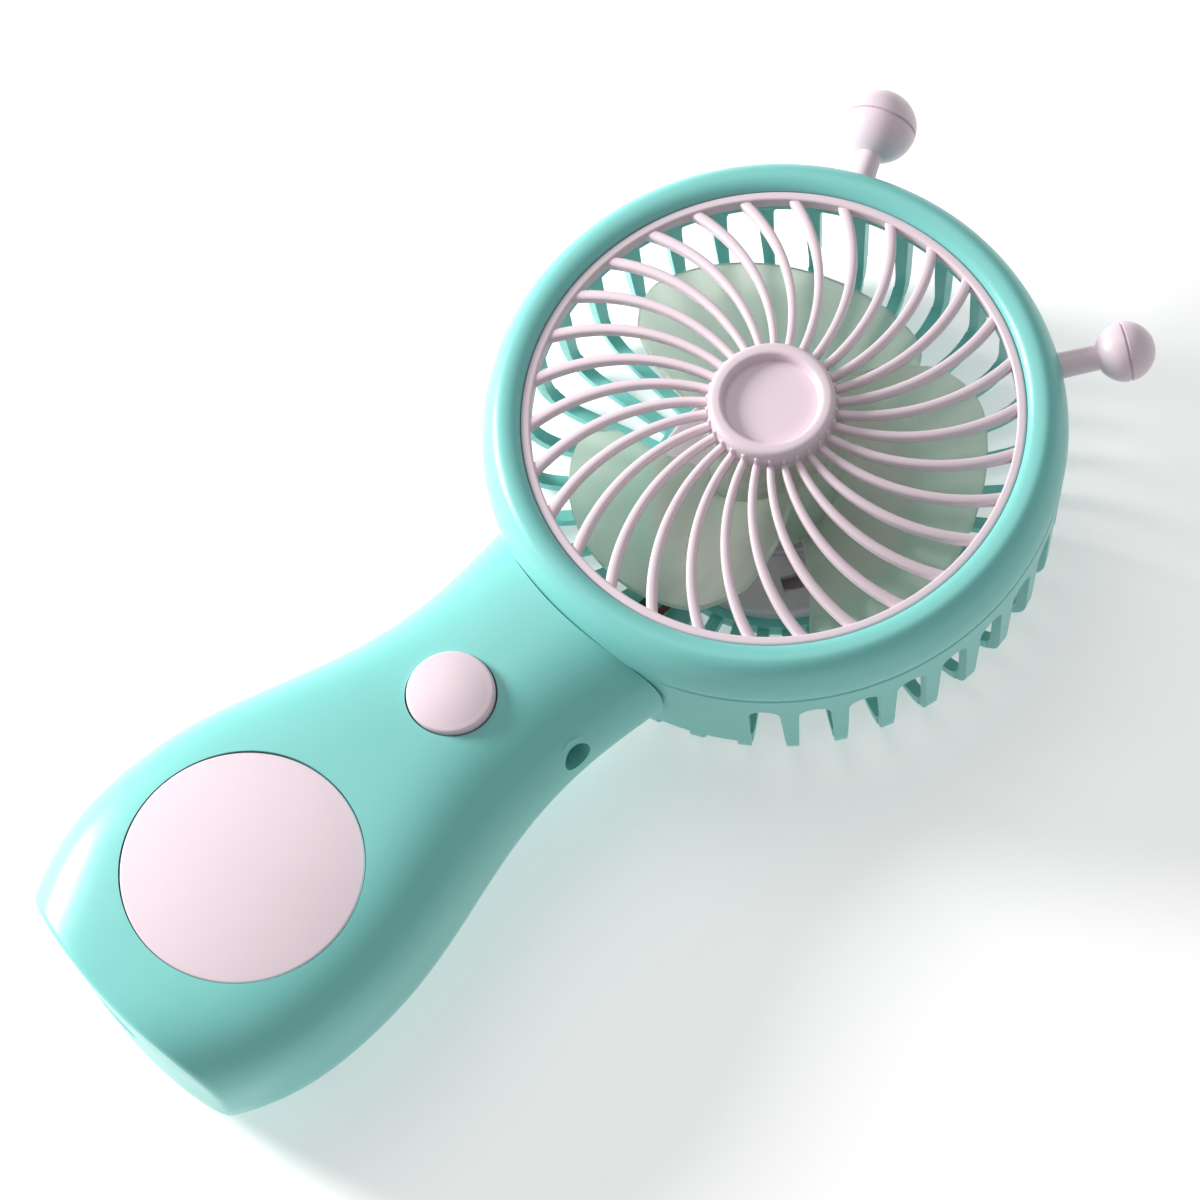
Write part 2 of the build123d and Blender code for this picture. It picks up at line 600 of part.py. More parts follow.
with BuildPart() as handle_front:
    add(outer)
    add(cavity, mode=Mode.SUBTRACT)
    add(bosses.part)
    add(lanyard_tunnel.part)
    add(disc_pad.part)
    split(bisect_by=Plane.XY.offset(SHELL_SPLIT_Z), keep=Keep.TOP)
    with BuildSketch(lanyard_plane):
        Circle(LANYARD_R)
    extrude(amount=30, both=True, mode=Mode.SUBTRACT)
    with Locations((0, DISC_Y, DISC_EDGE_Z - DISC_T)):
        Cylinder(DISC_R + FIT_GAP, 10, align=(Align.CENTER, Align.CENTER, Align.MIN), mode=Mode.SUBTRACT)
    with Locations((0, BUTTON_Y, 28)):
        Cylinder(BUTTON_R + BUTTON_GAP, 12, align=(Align.CENTER, Align.CENTER, Align.MIN), mode=Mode.SUBTRACT)
    with Locations(*[(x, y, SHELL_SPLIT_Z) for x, y, seat in screw_places]):
        Cylinder(SCREW_R, 2 * (SCREWS[0][2] + SCREW_L + 0.6 - SHELL_SPLIT_Z), mode=Mode.SUBTRACT)
    with Locations((0, BASE_Y, PORT_Z)):
        Box(PORT_SIZE[0] + 0.4, 8, PORT_SIZE[2] + 0.4, mode=Mode.SUBTRACT)
    with BuildSketch(Plane(origin=(LED_X, BASE_Y - 2, PORT_Z), z_dir=(0, 1, 0))):
        Circle(LED_R)
    extrude(amount=8, mode=Mode.SUBTRACT)
save(handle_front, "handle_front")

with BuildPart() as handle_rear:
    add(outer)
    add(cavity, mode=Mode.SUBTRACT)
    add(bosses.part)
    split(bisect_by=Plane.XY.offset(SHELL_SPLIT_Z), keep=Keep.BOTTOM)
    for x, y, seat in screw_places:
        with Locations((x, y, seat)):
            Cylinder(SCREW_R + 0.1, 30, mode=Mode.SUBTRACT)
            Cylinder(
                SCREW_HEAD_R + FIT_GAP, 15, align=(Align.CENTER, Align.CENTER, Align.MAX), mode=Mode.SUBTRACT
            )
save(handle_rear, "handle_rear")

with BuildPart() as handle_disc:
    with BuildSketch(Plane(origin=(0, DISC_Y, 0), x_dir=(1, 0, 0), z_dir=(0, -1, 0))):
        with BuildLine():
            Polyline((0, DISC_DOME_Z), (0, DISC_EDGE_Z - DISC_T), (DISC_R, DISC_EDGE_Z - DISC_T), (DISC_R, DISC_EDGE_Z))
            dome(DISC_R, DISC_EDGE_Z, DISC_DOME_Z)
        make_face()
    revolve(axis=disc_axis)
save(handle_disc, "handle_disc")

# ------------------------------------------------------------------ button and switch
with BuildPart() as button_cap:
    with BuildSketch(Plane(origin=(0, BUTTON_Y, 0), x_dir=(1, 0, 0), z_dir=(0, -1, 0))):
        with BuildLine():
            Polyline(
                (0, BUTTON_DOME_Z),
                (0, PLUNGER_Z[1]),
                (BUTTON_STEM_R, PLUNGER_Z[1]),
                (BUTTON_STEM_R, BUTTON_FLANGE_Z[0]),
                (BUTTON_FLANGE_R, BUTTON_FLANGE_Z[0]),
                (BUTTON_FLANGE_R, BUTTON_FLANGE_Z[1]),
                (BUTTON_R, BUTTON_FLANGE_Z[1]),
                (BUTTON_R, BUTTON_RIM_Z - 0.5),
            )
            ThreePointArc(
                (BUTTON_R, BUTTON_RIM_Z - 0.5),
                (BUTTON_R - 0.12, BUTTON_RIM_Z - 0.1),
                (BUTTON_R - 0.5, BUTTON_RIM_Z + 0.1),
            )
            dome(BUTTON_R - 0.5, BUTTON_RIM_Z + 0.1, BUTTON_DOME_Z)
        make_face()
    revolve(axis=button_axis)
save(button_cap, "button_cap")

with BuildPart() as switch_plunger:
    with Locations((0, BUTTON_Y, PLUNGER_Z[0])):
        Cylinder(PLUNGER_R, PLUNGER_Z[1] - PLUNGER_Z[0], align=(Align.CENTER, Align.CENTER, Align.MIN))
save(switch_plunger, "switch_plunger")

with BuildPart() as switch_body:
    with Locations((0, BUTTON_Y, BOARD_Z[1])):
        Box(SWITCH_W, SWITCH_W, SWITCH_TOP_Z - BOARD_Z[1], align=(Align.CENTER, Align.CENTER, Align.MIN))
    with Locations((0, BUTTON_Y, BOARD_Z[1] + 1.2)):
        Cylinder(PLUNGER_R + 0.15, 6, align=(Align.CENTER, Align.CENTER, Align.MIN), mode=Mode.SUBTRACT)
save(switch_body, "switch_body")

# ------------------------------------------------------------------ boards, cell, port
with BuildPart() as control_board:
    with Locations((0, BOARD_Y[0], BOARD_Z[0])):
        Box(
            2 * BOARD_HALF_W,
            BOARD_Y[0] - BOARD_Y[1],
            BOARD_Z[1] - BOARD_Z[0],
            align=(Align.CENTER, Align.MAX, Align.MIN),
        )
save(control_board, "control_board")

with BuildPart() as board_chips:
    with Locations(*[(x, y, BOARD_Z[1]) for x, y in CHIP_PLACES]):
        Box(*CHIP_SIZE, align=(Align.CENTER, Align.CENTER, Align.MIN))
save(board_chips, "board_chips")

with BuildPart() as battery_cell:
    with Locations((0, CELL_Y[0], CELL_Z[0])):
        Box(
            2 * CELL_HALF_W,
            CELL_Y[0] - CELL_Y[1],
            CELL_Z[1] - CELL_Z[0],
            align=(Align.CENTER, Align.MAX, Align.MIN),
        )
    fillet(battery_cell.edges().filter_by(Axis.Y), 2.4)
save(battery_cell, "battery_cell")

with BuildPart() as charge_port:
    mouth_y = BASE_Y + PORT_MOUTH
    with Locations((0, mouth_y, PORT_Z)):
        Box(*PORT_SIZE, align=(Align.CENTER, Align.MIN, Align.CENTER))
        Box(
            *[length - 2 * PORT_WALL for length in PORT_SIZE],
            align=(Align.CENTER, Align.MIN, Align.CENTER),
            mode=Mode.SUBTRACT,
        )
    with Locations((0, mouth_y + PORT_TONGUE_INSET, PORT_Z)):
        Box(
            PORT_TONGUE[0],
            PORT_SIZE[1] - PORT_TONGUE_INSET,
            PORT_TONGUE[1],
            align=(Align.CENTER, Align.MIN, Align.CENTER),
        )
save(charge_port, "charge_port")

with BuildPart() as charge_board:
    with Locations((0, CHARGE_BOARD_Y[0], PORT_Z - PORT_SIZE[2] / 2)):
        Box(
            CHARGE_BOARD_W,
            CHARGE_BOARD_Y[1] - CHARGE_BOARD_Y[0],
            BOARD_T,
            align=(Align.CENTER, Align.MIN, Align.MAX),
        )
save(charge_board, "charge_board")

with BuildPart() as status_led:
    led_y = BASE_Y + BASE_R - math.sqrt(BASE_R**2 - LED_X**2) + 0.15
    with BuildSketch(Plane(origin=(LED_X, led_y, PORT_Z), z_dir=(0, 1, 0))):
        Circle(LED_R)
    extrude(amount=3.2)
save(status_led, "status_led")

with BuildPart() as handle_screws:
    for x, y, seat in screw_places:
        with Locations((x, y, seat)):
            Cylinder(SCREW_HEAD_R, SCREW_HEAD_H, align=(Align.CENTER, Align.CENTER, Align.MAX))
            Cylinder(SCREW_R, SCREW_L, align=(Align.CENTER, Align.CENTER, Align.MIN))
        with Locations((x, y, seat - SCREW_HEAD_H)):
            Box(CROSS_L, CROSS_W, CROSS_DEPTH, mode=Mode.SUBTRACT)
            Box(CROSS_W, CROSS_L, CROSS_DEPTH, mode=Mode.SUBTRACT)
save(handle_screws, "handle_screws")

# ------------------------------------------------------------------ leads, each a straight run with rounded turns
LEAD_Z = CAGE_HUB_Z + LEAD_R + 0.05
LEAD_ROUTES = {
    "motor": (1.6, 2.6, ((-12.6, LEAD_Z), (-38.5, LEAD_Z), (-43.6, 15.5), (-75.0, 15.5), (-75.0, BOARD_Z[0]))),
    "cell": (6.0, 2.4, ((CELL_Y[0], 11.0), (-86.0, 11.0), (-86.0, BOARD_Z[0]))),
    "charge": (
        4.0,
        1.8,
        ((CHARGE_BOARD_Y[1], 15.75), (-132.6, 15.75), (-129.2, 17.6), (-93.0, 17.6), (-93.0, BOARD_Z[0])),
    ),
}
for route, (x, bend, points) in LEAD_ROUTES.items():
    for side, colour in ((-1, "black"), (1, "red")):
        corners = [(side * x, y, z) for y, z in points]
        with BuildPart() as lead:
            with BuildLine():
                FilletPolyline(*corners, radius=bend)
            with BuildSketch(Plane(origin=corners[0], z_dir=(0, points[1][0] - points[0][0], 0))):
                Circle(LEAD_R)
            sweep()
        save(lead, f"lead_{route}_{colour}")
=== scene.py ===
import bpy
import bmesh
import json
import math
import numpy as np
from mathutils import Matrix, Vector


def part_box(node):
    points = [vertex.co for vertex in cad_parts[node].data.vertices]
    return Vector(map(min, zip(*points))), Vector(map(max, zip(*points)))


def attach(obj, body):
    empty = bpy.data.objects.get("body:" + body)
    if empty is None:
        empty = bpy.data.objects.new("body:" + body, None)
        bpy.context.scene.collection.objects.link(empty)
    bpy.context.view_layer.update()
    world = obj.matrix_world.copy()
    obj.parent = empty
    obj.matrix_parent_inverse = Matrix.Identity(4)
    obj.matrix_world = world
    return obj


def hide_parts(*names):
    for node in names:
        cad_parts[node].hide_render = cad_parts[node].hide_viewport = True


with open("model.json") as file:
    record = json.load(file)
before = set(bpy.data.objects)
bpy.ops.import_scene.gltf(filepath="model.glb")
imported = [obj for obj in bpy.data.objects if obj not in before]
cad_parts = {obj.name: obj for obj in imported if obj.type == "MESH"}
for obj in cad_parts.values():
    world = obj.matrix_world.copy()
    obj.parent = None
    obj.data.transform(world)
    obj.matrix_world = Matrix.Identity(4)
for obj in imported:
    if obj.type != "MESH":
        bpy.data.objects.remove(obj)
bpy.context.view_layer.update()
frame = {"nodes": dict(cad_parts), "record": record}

# Lengths in this script are millimetres. MM turns them into Blender's metres.
MM = 0.001
scene = bpy.context.scene

# ------------------------------------------------------------------ sizes shared with the CAD model
HEAD_JOINT_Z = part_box("rear_cage")[1][2] / MM
HEAD_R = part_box("bezel_ring")[1][0] / MM
BEZEL_TOP_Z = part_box("bezel_ring")[1][2] / MM
GRILLE_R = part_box("front_grille")[1][0] / MM
GRILLE_TOP_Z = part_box("front_grille")[1][2] / MM
DISC_LOW, DISC_HIGH = (Vector(corner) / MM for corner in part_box("handle_disc"))
BUTTON_LOW, BUTTON_HIGH = (Vector(corner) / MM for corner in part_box("button_cap"))

# handle stations: y, half width, front z, back z, squareness of the front and of the back
STATIONS = np.array((
    (-40.0, 21.6, 34.6, 7.4, 2.4, 2.3),
    (-51.0, 20.3, 34.0, 7.6, 2.4, 2.3),
    (-62.0, 19.8, 33.7, 7.4, 2.4, 2.3),
    (-73.0, 20.6, 33.8, 6.2, 2.6, 2.3),
    (-85.0, 23.1, 34.6, 3.9, 3.0, 2.3),
    (-97.0, 26.4, 35.3, 1.7, 3.6, 2.4),
    (-109.0, 29.1, 35.7, 0.4, 4.1, 2.4),
    (-121.0, 30.1, 35.8, 0.0, 4.2, 2.4),
    (-133.0, 29.2, 35.4, 0.5, 3.8, 2.4),
    (-143.0, 25.9, 34.5, 1.9, 3.2, 2.4),
    (-153.0, 20.4, 33.2, 4.2, 2.8, 2.4),
))
NECK_R = 49.95
NECK_WALL = 4.0
BASE_Y, BASE_R, BASE_SLANT, BASE_MID_Z = -148.4, 97.0, math.radians(4), 18.0
BASE_EDGE_R, INNER_EDGE_R = 0.9, 0.4
HANDLE_MID_Z = 18.5
WALL = 2.0
SPLIT_Z = 13.0
SPLIT_GAP = 0.05


# ------------------------------------------------------------------ materials
BRUSH_STRETCH = 14.0
GLOSS_DRIFT = 0.12
GRAIN_HEIGHT = 0.0001


def noise(nodes, links, coordinates, scale, detail=3.0, rough=0.55):
    """Procedural noise in the part's own frame."""
    node = nodes.new("ShaderNodeTexNoise")
    node.inputs["Scale"].default_value = scale
    node.inputs["Detail"].default_value = detail
    node.inputs["Roughness"].default_value = rough
    links.new(coordinates, node.inputs["Vector"])
    return node.outputs["Fac"]


def ramp(nodes, links, value, stops):
    """Colour ramp with (position, colour) stops."""
    node = nodes.new("ShaderNodeValToRGB")
    for element, (position, colour) in zip(node.color_ramp.elements, (stops[0], stops[-1])):
        element.position = position
        element.color = (*colour, 1)
    for position, colour in stops[1:-1]:
        node.color_ramp.elements.new(position).color = (*colour, 1)
    links.new(value, node.inputs["Fac"])
    return node.outputs["Color"]


def spread(nodes, links, value, low, high):
    """Maps noise to a range of numbers."""
    node = nodes.new("ShaderNodeMapRange")
    node.inputs["From Min"].default_value = 0.3
    node.inputs["From Max"].default_value = 0.7
    node.inputs["To Min"].default_value = low
    node.inputs["To Max"].default_value = high
    links.new(value, node.inputs["Value"])
    return node.outputs["Result"]


def finish(
    name, colour, rough, variation=0.03, grain=700.0, bump=0.02, cloud=45.0, brushed=False, **sockets
):
    """A moulded or machined surface: slow colour drift, uneven gloss and fine grain."""
    material = bpy.data.materials.new(name)
    material.use_nodes = True
    nodes, links = material.node_tree.nodes, material.node_tree.links
    shader = nodes["Principled BSDF"]
    place = nodes.new("ShaderNodeTexCoord").outputs["Object"]
    if brushed:
        stretch = nodes.new("ShaderNodeMapping")
        stretch.inputs["Scale"].default_value = (1.0, 1.0, BRUSH_STRETCH)
        links.new(place, stretch.inputs["Vector"])
        place = stretch.outputs["Vector"]
    drift = noise(nodes, links, place, cloud)
    darker = [channel * (1 - variation) for channel in colour]
    lighter = [min(1.0, channel * (1 + variation)) for channel in colour]
    links.new(ramp(nodes, links, drift, ((0.3, darker), (0.7, lighter))), shader.inputs["Base Color"])
    sheen = noise(nodes, links, place, cloud * 4, 4.0)
    uneven = spread(nodes, links, sheen, rough * (1 - GLOSS_DRIFT), rough * (1 + GLOSS_DRIFT))
    links.new(uneven, shader.inputs["Roughness"])
    texture = nodes.new("ShaderNodeBump")
    texture.inputs["Strength"].default_value = bump
    texture.inputs["Distance"].default_value = GRAIN_HEIGHT
    links.new(noise(nodes, links, place, grain, 2.0), texture.inputs["Height"])
    links.new(texture.outputs["Normal"], shader.inputs["Normal"])
    for socket, value in sockets.items():
        shader.inputs[socket.replace("_", " ")].default_value = value
    return material


MATERIALS = {
    "mint_shell": finish(
        "mint_moulded", (0.215, 0.620, 0.582), 0.34, 0.015, 420, 0.010, Specular_IOR_Level=0.5,
    ),
    "pink_trim": finish(
        "pink_moulded", (0.795, 0.655, 0.722), 0.35, 0.015, 420, 0.010, Specular_IOR_Level=0.5,
    ),
    # frosted blades: pale own colour plus a yellow-green tint that is painted light, the backdrop's light seen
    # through the blades
    "impeller_frost": finish(
        "frosted_impeller", (0.890, 0.940, 0.840), 0.40, 0.03, bump=0.03,
        Transmission_Weight=0.68, IOR=1.25, Specular_IOR_Level=0.45,
    ),
    "steel": finish(
        "brushed_steel", (0.56, 0.57, 0.58), 0.32, 0.08, 1800, 0.12, 160, True, Metallic=1.0,
    ),
    "magnet_iron": finish("sintered_iron", (0.09, 0.09, 0.10), 0.55, 0.15, 2200, 0.2, Metallic=0.6),
    "sintered_bronze": finish(
        "sintered_bronze", (0.44, 0.25, 0.11), 0.45, 0.12, 3000, 0.2, Metallic=1.0,
    ),
    "board_green": finish("board_varnish", (0.02, 0.13, 0.06), 0.28, 0.10, 1500, 0.08),
    "black_plastic": finish("black_moulded", (0.018, 0.018, 0.020), 0.50, 0.15, 2400, 0.12),
    "cell_wrap": finish("cell_sleeve", (0.05, 0.13, 0.38), 0.25, 0.05, 900, 0.06),
    "lead_red": finish("red_lead", (0.17, 0.020, 0.016), 0.40, 0.08, 3000, 0.05),
    "lead_black": finish("black_lead", (0.015, 0.015, 0.017), 0.42, 0.12, 3000, 0.05),
    "led_lens": finish(
        "clear_lens", (0.80, 0.82, 0.80), 0.12, 0.02, 1200, 0.02, Transmission_Weight=0.6, IOR=1.45,
    ),
}


# ------------------------------------------------------------------ mesh helpers
def place_piece(piece, slot, body="housing", replaces=(), sharp=32.0):
    """Shade, paint and declare a finished piece."""
    mesh = piece.data
    mesh.shade_smooth()
    mesh.set_sharp_from_angle(angle=math.radians(sharp))
    mesh.materials.clear()
    mesh.materials.append(MATERIALS[slot])
    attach(piece, body)
    if replaces:
        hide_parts(*replaces)
    return piece


def add_object(name, mesh):
    piece = bpy.data.objects.new(name, mesh)
    scene.collection.objects.link(piece)
    return piece


def to_object(name, shape):
    """A bmesh in millimetres becomes an object in metres."""
    bmesh.ops.remove_doubles(shape, verts=shape.verts, dist=1e-4)
    bmesh.ops.dissolve_degenerate(shape, edges=shape.edges, dist=1e-5)
    bmesh.ops.recalc_face_normals(shape, faces=shape.faces)
    bmesh.ops.scale(shape, vec=(MM, MM, MM), verts=shape.verts)
    mesh = bpy.data.meshes.new(name)
    shape.to_mesh(mesh)
    shape.free()
    return add_object(name, mesh)


def grid(shape, rows, close_rows=False, close_columns=False):
    """Quads between rows of points."""
    verts = [[shape.verts.new(point) for point in row] for row in rows]
    last_row = len(verts) if close_rows else len(verts) - 1
    for i in range(last_row):
        here, after = verts[i], verts[(i + 1) % len(verts)]
        last = len(here) if close_columns else len(here) - 1
        for j in range(last):
            k = (j + 1) % len(here)
            shape.faces.new((here[j], here[k], after[k], after[j]))
    return verts


def soften(points, steps=6):
    """Outline whose corners are rounded: points are (radius, height, corner size)."""
    rounded = []
    for i, (x, y, size) in enumerate(points):
        corner = Vector((x, y))
        if size == 0:
            rounded.append((x, y))
            continue
        before = Vector(points[i - 1][:2]) - corner
        after = Vector(points[(i + 1) % len(points)][:2]) - corner
        start = corner + before.normalized() * min(size, before.length * 0.49)
        end = corner + after.normalized() * min(size, after.length * 0.49)
        for k in range(steps + 1):
            t = k / steps
            point = start * (1 - t) ** 2 + corner * 2 * t * (1 - t) + end * t**2
            rounded.append((point.x, point.y))
    return rounded


def lathe(shape, profile, matrix=Matrix.Identity(4), segments=192):
    """Closed outline of (radius, height) turned about an axis."""
    rows = []
    for i in range(segments):
        angle = 2 * math.pi * i / segments
        along_x, along_y = math.cos(angle), math.sin(angle)
        rows.append([matrix @ Vector((r * along_x, r * along_y, z)) for r, z in profile])
    grid(shape, rows, close_rows=True, close_columns=True)


def dome_points(edge_r, edge_z, top_z, steps=16):
    """Points from the edge of a shallow dome to its top."""
    rise = top_z - edge_z
    ball_r = (edge_r**2 + rise**2) / (2 * rise)
    half = math.asin(edge_r / ball_r)
    angles = [half * (1 - k / steps) for k in range(steps + 1)]
    return [(ball_r * math.sin(a), top_z - ball_r + ball_r * math.cos(a)) for a in angles]


def natural_spline(at, values):
    """Smooth curve through values at the given places."""
    n = len(at)
    h = np.diff(at)
    system, right = np.eye(n), np.zeros(n)
    for i in range(1, n - 1):
        system[i, i - 1:i + 2] = h[i - 1], 2 * (h[i - 1] + h[i]), h[i]
        right[i] = 6 * ((values[i + 1] - values[i]) / h[i] - (values[i] - values[i - 1]) / h[i - 1])
    bend = np.linalg.solve(system, right)

    def value(y):
        i = np.clip(np.searchsorted(at, y) - 1, 0, n - 2)
        a, b = (at[i + 1] - y) / h[i], (y - at[i]) / h[i]
        curve = ((a**3 - a) * bend[i] + (b**3 - b) * bend[i + 1]) * h[i] ** 2 / 6
        return a * values[i] + b * values[i + 1] + curve

    return value


# ------------------------------------------------------------------ head: bezel
shape = bmesh.new()
CREST_R, SIDE_Z = 46.0, 31.0
CREST_STEPS = 22
LIP_R = GRILLE_R + 0.2
LEDGE_R, LEDGE_Z = 41.4, 34.6
SKIRT_INNER_R, SKIRT_OUTER_R, SKIRT_Z = 45.6, 47.6, 26.5
front = [
    (CREST_R + (HEAD_R - CREST_R) * math.cos(a), SIDE_Z + (BEZEL_TOP_Z - SIDE_Z) * math.sin(a))
    for a in [math.pi / 2 * k / CREST_STEPS for k in range(CREST_STEPS + 1)]
]
inner = [(45.4, 38.58), (44.7, 38.45), (44.1, 38.22), (43.6, 37.9), (43.2, 37.5), (LIP_R, 37.1)]
back = soften((
    (LIP_R, LEDGE_Z, 0.1), (LEDGE_R, LEDGE_Z, 0.15), (LEDGE_R, 33.4, 0.15), (SKIRT_INNER_R, 31.6, 0.4),
    (SKIRT_INNER_R, SKIRT_Z, 0.2), (SKIRT_OUTER_R, SKIRT_Z, 0.2),
    (SKIRT_OUTER_R, HEAD_JOINT_Z, 0.05), (HEAD_R, HEAD_JOINT_Z, 0.35),
), 4)
lathe(shape, front + inner + back, segments=256)
bezel = to_object("bezel", shape)
place_piece(bezel, "mint_shell", replaces=["bezel_ring"])

# ------------------------------------------------------------------ head: front grille
SPOKES = 30
SPOKE_TURN = math.radians(55)
SPOKE_ARC_R, SPOKE_ROOT_R = 35.1, 10.5
SPOKE_DEPTH = 1.9
SPOKE_STEPS = 30
FIRST_SPOKE = 4
SPOKE_ROOT_W, SPOKE_FLARE = 1.3, 0.6
DOME_Z, DOME_FALL = 40.38, 0.00205
RIM_INNER_R, RIM_OUTER_R = GRILLE_R - 1.5, GRILLE_R + 0.12
RIM_LOW_Z, RIM_HIGH_Z = 34.65, 37.2
HUB_R = 11.0
HUB_LOW_Z, HUB_FLOOR_Z = 38.0, 39.6
DISH_R = 8.5
DISH_Z = 41.2
RIB_R, RIB_TOP_Z = 0.52, 41.6
# section of a spoke: share of its half width, and height below its front line
SPOKE_SECTION = (
    (-0.80, -SPOKE_DEPTH), (-1.0, -SPOKE_DEPTH + 0.2), (-1.0, -0.62), (-0.93, -0.34), (-0.74, -0.14),
    (-0.42, -0.03), (0, 0), (0.42, -0.03), (0.74, -0.14), (0.93, -0.34), (1.0, -0.62),
    (1.0, -SPOKE_DEPTH + 0.2), (0.80, -SPOKE_DEPTH),
)


def spoke_height(radius):
    """Front line of a spoke: a shallow dome over the head."""
    return DOME_Z - DOME_FALL * radius**2


shape = bmesh.new()
lathe(shape, soften((
    (RIM_INNER_R, RIM_LOW_Z, 0.15), (RIM_OUTER_R, RIM_LOW_Z, 0.15),
    (RIM_OUTER_R, RIM_HIGH_Z, 0.5), (RIM_INNER_R, RIM_HIGH_Z, 0.5),
)), segments=256)
hub = soften((
    (0, HUB_FLOOR_Z, 0), (DISH_R, HUB_FLOOR_Z, 0.2), (DISH_R + 0.8, HUB_LOW_Z, 0.2), (HUB_R, HUB_LOW_Z, 0.25),
    (HUB_R - 0.2, GRILLE_TOP_Z, 1.25), (DISH_R - 0.1, GRILLE_TOP_Z, 0.7), (DISH_R - 0.5, DISH_Z, 0.3),
    (DISH_R - 2.5, DISH_Z, 0), (0, DISH_Z, 0),
), 8)
lathe(shape, hub, segments=160)
for i in range(SPOKES):
    turn = Matrix.Rotation(math.radians(FIRST_SPOKE + 360 / SPOKES * i), 4, "Z")
    rows = []
    for k in range(SPOKE_STEPS + 1):
        angle = SPOKE_TURN * k / SPOKE_STEPS
        middle = Vector((
            SPOKE_ROOT_R + SPOKE_ARC_R * math.sin(angle), SPOKE_ARC_R - SPOKE_ARC_R * math.cos(angle), 0
        ))
        across = Vector((-math.sin(angle), math.cos(angle), 0))
        half = (SPOKE_ROOT_W + SPOKE_FLARE * k / SPOKE_STEPS) / 2
        top = spoke_height(middle.length)
        rows.append([turn @ (middle + across * half * u + Vector((0, 0, top + v))) for u, v in SPOKE_SECTION])
    ends = grid(shape, rows, close_columns=True)
    shape.faces.new(ends[0])
    shape.faces.new(ends[-1])
    # small rounded rib where the spoke leaves the hub
    out = (turn @ Vector((SPOKE_ROOT_R, 0, 0))).normalized()
    rib_at = Matrix.Translation(out * (HUB_R - 0.12))
    lathe(shape, soften((
        (0, HUB_LOW_Z + 0.1, 0), (RIB_R, HUB_LOW_Z + 0.1, 0.1), (RIB_R - 0.1, RIB_TOP_Z, 0.35), (0, RIB_TOP_Z, 0),
    ), 4), rib_at, 12)
grille = to_object("grille", shape)
place_piece(grille, "pink_trim", replaces=["front_grille"], sharp=38)

# ------------------------------------------------------------------ head: antennae
STEM_R = 2.25
STEM_START_R = 48.3
GROOVE_HALF, GROOVE_DEPTH = 0.28, 0.5
BALL_STEPS = 40
for name in ("left", "right"):
    low, high = (Vector(corner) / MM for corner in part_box(f"antenna_ball_{name}"))
    centre = (low + high) / 2
    ball_r = (high - low)[0] / 2
    direction = Vector((centre.x, centre.y, 0)).normalized()
    stand = Matrix.Translation(centre) @ direction.to_track_quat("Z", "X").to_matrix().to_4x4()
    shape = bmesh.new()
    groove = GROOVE_HALF / ball_r
    low_half, high_half = (
        [(ball_r * math.cos(a), ball_r * math.sin(a)) for a in np.linspace(start, end, BALL_STEPS)]
        for start, end in ((-math.pi / 2, -groove), (groove, math.pi / 2))
    )
    floor_r = ball_r - GROOVE_DEPTH
    valley = [(ball_r - 0.12, -0.2), (floor_r, -0.16), (floor_r, 0.16), (ball_r - 0.12, 0.2)]
    lathe(shape, low_half + valley + high_half, stand, 128)
    tip_piece = to_object(f"antenna_tip_{name}", shape)
    place_piece(tip_piece, "pink_trim", replaces=[f"antenna_ball_{name}"], sharp=40)
    shape = bmesh.new()
    start, end = STEM_START_R - centre.to_2d().length, -ball_r * 0.55
    lathe(shape, soften((
        (0, start, 0), (STEM_R + 0.05, start, 0.2), (STEM_R - 0.1, end, 0.1), (0, end, 0),
    ), 5), stand, 64)
    stalk_piece = to_object(f"antenna_stalk_{name}", shape)
    place_piece(stalk_piece, "pink_trim", replaces=[f"antenna_stem_{name}"])

# ------------------------------------------------------------------ impeller
BLADES = 3
BLADE_T = 1.2
BLADE_FRONT, BLADE_SPAN = 183.0, 98.0
BLADE_SWEEP, SWEEP_POWER, SWEEP_FADE = 28.0, 1.2, 0.55
BLADE_R = 36.5
BLADE_HIGH_Z, BLADE_FALL = 31.9, 21.6
BLADE_OVERLAP = 0.6
CHORD_STEPS, LENGTH_STEPS = 48, 20
HUB_CUP_R, HUB_CUP_INNER_R = 12.0, 10.6
HUB_CUP_LOW_Z, HUB_CUP_HIGH_Z, HUB_CUP_ROOF_Z = 9.5, 31.0, 28.6
BORE_R, BORE_END_Z = 1.0, 29.6
BORE_WALL_R, BORE_START_Z = 3.2, 24
